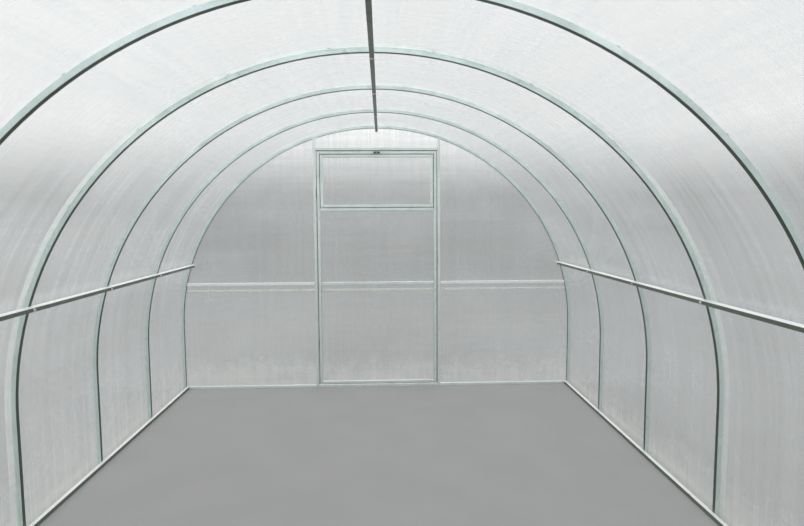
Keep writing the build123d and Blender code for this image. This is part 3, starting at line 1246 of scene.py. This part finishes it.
@dataclass
class Door(Assembly):
    """One door leaf with its vent sash, handle, hinges and turn button."""

    side_gap: float = 0.008
    head_gap: float = 0.006
    sash_gap: float = 0.005
    vent_rail_z: float = 1.375
    stile_screws: tuple[float, ...] = (0.09, 0.56, 1.20)
    sash_screws: tuple[float, ...] = (1.46, 1.68)
    rail_screw: float = 0.20
    vent_screw: float = 0.12
    screw_drop: float = 0.004
    hinge_heights: tuple[float, ...] = (0.340, 1.498)
    hinge_wing: float = 0.0025
    hinge_screw_x: float = 0.0145
    hinge_screw_step: float = 0.024
    handle_z: float = 1.000
    handle_foot: float = 0.084
    handle_plate: float = 0.003
    seal_reach: float = 0.0045
    seal_bite: float = 0.001

    def __post_init__(self) -> None:
        """Works out the middle lines of the leaf's and the sash's tubes."""
        self.stile_x = self.post_x - self.side_gap - self.tube
        self.bottom_rail_z = self.tube + self.side_gap + self.tube / 2
        self.head_rail_z = self.lintel_z - self.head_gap - self.tube
        self.sash_stile_x = self.stile_x - self.sash_gap - self.tube
        self.sash_bottom_z = self.vent_rail_z + self.sash_gap + self.tube
        self.sash_top_z = self.head_rail_z - self.sash_gap - self.tube

    def sheet_screws(self) -> None:
        """Screws that hold the leaf's sheets and the vent's pane."""
        points = []
        for side in SIDES:
            points += [(side * self.stile_x, height) for height in self.stile_screws]
            points += [(side * self.sash_stile_x, height) for height in self.sash_screws]
            for rail in (self.bottom_rail_z, self.rail_z, self.sash_top_z):
                points.append((side * self.rail_screw, rail))
            points.append((side * self.vent_screw, self.vent_rail_z - self.screw_drop))
            points.append((side * self.vent_screw, self.sash_bottom_z + self.screw_drop))
        screws = FlangeScrew(self.finishes.zinc).make()
        self.fasten(screws, self.face_screws(points), "door_screws", body=self.end.door)

    def fitting_screws(self) -> None:
        """Small screws in the handle's feet and in the hinges."""
        out = (0, 1, 0)
        foot_y = self.face_y + self.handle_plate
        wing_y = self.face_y + self.hinge_wing
        pin_x = self.side_gap / 2 + self.tube / 2 - self.post_x
        on_door = []
        on_house = []
        for step in SIDES:
            on_door.append(standing((self.stile_x, foot_y, self.handle_z + step * self.handle_foot), out))
        for height in self.hinge_heights:
            for step in (-1, 0, 1):
                z = height + step * self.hinge_screw_step
                on_door.append(standing((pin_x + self.hinge_screw_x, wing_y, z), out))
                on_house.append(standing((pin_x - self.hinge_screw_x, wing_y, z), out))
        sizes = {"flange_radius": 0.0036, "flange_height": 0.0005, "dome_height": 0.0011, "sides": 12}
        small = FlangeScrew(self.finishes.zinc, **sizes)
        self.fasten(small.make(), on_door, "door_fitting_screws", body=self.end.door)
        self.fasten(small.make(), on_house, "post_fitting_screws")

    def seals(self) -> None:
        """Rubber seals in the gap round the leaf and in the gap round the vent sash."""
        edge = self.tube / 2 + self.seal_reach
        rings = []
        for stile, bottom, top in (
            (self.stile_x, self.bottom_rail_z, self.head_rail_z),
            (self.sash_stile_x, self.sash_bottom_z, self.sash_top_z),
        ):
            ring = SealRing(
                self.finishes.rubber,
                half_width=stile + edge,
                bottom=bottom - edge,
                top=top + edge,
                y=self.end_y,
                width=self.seal_reach + self.seal_bite,
            )
            rings.append(ring.make())
        self.fasten(join(rings, "seal_master"), [Matrix()], "door_seals", body=self.end.door)

    def mouldings(self) -> None:
        """Black plugs in the stiles' upper ends, and the cover of the turn button."""
        half = self.tube / 2
        tops = ((self.stile_x, self.head_rail_z + half), (self.sash_stile_x, self.sash_top_z + half))
        ends = [standing((side * x, self.end_y, top), (0, 0, 1)) for side in SIDES for x, top in tops]
        # The plugs are partly painted shade: their black also stands in for the dark shade at the top
        # corners of the leaf and the sash.
        self.fasten(TubePlug(self.finishes.moulding).make(), ends, "tube_plugs", body=self.end.door)
        seat = standing((0.0, self.end_y - half, self.head_rail_z), (0, -1, 0))
        self.fasten(ButtonCover(self.finishes.moulding).make(), [seat], "button_cover", body=self.end.door)

    def welds(self) -> None:
        """Weld beads at the corners of the leaf and of the vent sash."""
        leaf_rails = (self.bottom_rail_z, self.rail_z, self.vent_rail_z, self.head_rail_z)
        sash_rails = (self.sash_bottom_z, self.sash_top_z)
        places = []
        for side in SIDES:
            for stile, rails in ((self.stile_x, leaf_rails), (self.sash_stile_x, sash_rails)):
                x = side * (stile - self.tube / 2)
                places += [standing((x, self.end_y, rail), (side, 0, 0)) for rail in rails]
        self.fasten(WeldBead(self.finishes.zinc).make(), places, "door_welds", "frame_tube", self.end.door)

    def build(self) -> None:
        """Dresses the door's CAD nodes and adds its fasteners, seals, mouldings and welds."""
        self.dress(self.finishes.door_tube, "door_frame", "vent_frame")
        self.dress(self.finishes.end, "door_sheet", "vent_pane")
        self.dress(self.finishes.profile, "door_joint_strip")
        self.dress(self.finishes.zinc, "vent_fittings", "door_handle", "hinge_leaves")
        self.sheet_screws()
        self.fitting_screws()
        self.seals()
        self.mouldings()
        self.welds()


@dataclass
class HangingHook(Assembly):
    """The wire hook that hangs from the back wall's left rail."""

    x: float = -1.286
    y: float = 2.000
    eye_top: float = 0.801

    def build(self) -> None:
        """Models the hook and hangs it by its eye."""
        hook = WireHook(self.finishes.wire)
        place = Matrix.Translation((self.x, self.y, self.eye_top - hook.eye_radius))
        self.fasten(hook.make(), [place], "wall_wire_hook")


# Studio


@dataclass
class Lamp:
    """Soft rectangular lamp."""

    name: str
    place: tuple[float, float, float]
    aim: tuple[float, float, float]
    width: float
    length: float
    watts: float
    colour: Colour

    def build(self) -> None:
        """Hangs the lamp."""
        bpy.ops.object.light_add(type="AREA", location=self.place)
        lamp = bpy.context.object
        lamp.name = self.name
        lamp.data.shape = "RECTANGLE"
        lamp.data.size = self.width
        lamp.data.size_y = self.length
        lamp.data.energy = self.watts
        lamp.data.color = self.colour
        direction = Vector(self.aim) - Vector(self.place)
        lamp.rotation_euler = direction.to_track_quat("-Z", "Y").to_euler()


@dataclass
class Studio:
    """Pale floor, plain backdrop, soft lamps and the photograph's camera."""

    floor_size: float = 120.0
    floor_colour: Colour = (0.41, 0.41, 0.403)
    horizon: Colour = (0.345, 0.352, 0.350)
    zenith: Colour = (1.0, 1.0, 1.0)
    haze_low: float = 0.02
    haze_high: float = 0.155
    ambient: Colour = (0.95, 0.98, 1.0)
    ambient_strength: float = 0.66
    warm: Colour = (1.0, 0.995, 0.985)
    sunny: Colour = (1.0, 0.985, 0.96)
    cool: Colour = (0.97, 0.99, 1.0)
    focal_pixels: float = 570.0
    image_width: float = 804.0
    sensor: float = 36.0
    yaw: float = 2.008
    pitch: float = 4.792
    roll: float = -0.331
    stand: tuple[float, float, float] = (0.0339, -2.3554, 1.3286)
    near: float = 0.5
    far: float = 200.0

    def build_floor(self) -> None:
        """Lays the floor."""
        floor = start("studio_floor", bpy.ops.mesh.primitive_plane_add, size=self.floor_size)
        floor.data.materials.append(StudioFloor("pale_floor", self.floor_colour, self.horizon).build())
        log.info("floor laid")

    def build_world(self) -> None:
        """Makes the even light all round, and the pale backdrop that the camera sees."""
        board = NodeBoard(bpy.data.worlds.new("studio"))
        bpy.context.scene.world = board.owner
        ahead = board.add("TexCoord", {}).outputs["Generated"]
        height = board.add("SeparateXYZ", {0: ahead}).outputs["Z"]
        colour = board.blend(board.span(height, self.haze_low, self.haze_high), self.horizon, self.zenith)
        backdrop = board.shade("Background", {"Color": colour})
        light = board.shade("Background", {"Color": self.ambient, "Strength": self.ambient_strength})
        board.finish(board.mix_shaders(board.seen(), light, backdrop), "OutputWorld")

    def build_lamps(self) -> None:
        """Hangs the lamps: a large one overhead, one to the left, and one beyond each end."""
        for lamp in (
            Lamp("overhead", (0.0, 0.0, 7.5), (0, 0, 0.8), 8.0, 9.0, 290.0, self.warm),
            Lamp("left_key", (-7.0, -3.0, 5.0), (0, 0.5, 0.9), 6.0, 5.0, 115.0, self.sunny),
            Lamp("front_fill", (0.0, -10.0, 3.6), (0, 0, 1.1), 12.0, 5.0, 230.0, self.cool),
            Lamp("back_fill", (0.0, 10.0, 3.6), (0, 0, 1.0), 12.0, 5.0, 130.0, self.cool),
        ):
            lamp.build()

    def build_camera(self) -> None:
        """Sets up the photograph's camera, whose nearest edge lies past the front end wall."""
        yaw, pitch, roll = (math.radians(angle) for angle in (self.yaw, self.pitch, self.roll))
        tilt = Matrix.Rotation(math.pi / 2 - pitch, 4, "X") @ Matrix.Rotation(roll, 4, "Z")
        bpy.ops.object.camera_add()
        camera = bpy.context.object
        camera.name = "photo_camera"
        camera.matrix_world = Matrix.Translation(self.stand) @ Matrix.Rotation(-yaw, 4, "Z") @ tilt
        camera.data.sensor_width = self.sensor
        camera.data.lens = self.focal_pixels / self.image_width * self.sensor
        camera.data.clip_start = self.near
        camera.data.clip_end = self.far
        bpy.context.scene.camera = camera

    def build(self) -> None:
        """Builds the whole studio."""
        self.build_floor()
        self.build_world()
        self.build_lamps()
        self.build_camera()
        bpy.context.scene.view_settings.view_transform = "Standard"


def main() -> None:
    """Builds the greenhouse's looks and the studio, in order."""
    logging.basicConfig(level=logging.INFO, format="%(name)s: %(message)s")
    finishes = Finishes()
    Tunnel(finishes).build()
    for end in End:
        EndWall(finishes, end).build()
        Door(finishes, end).build()
    HangingHook(finishes).build()
    Studio().build()
    deselect()


if __name__ == "__main__":
    main()
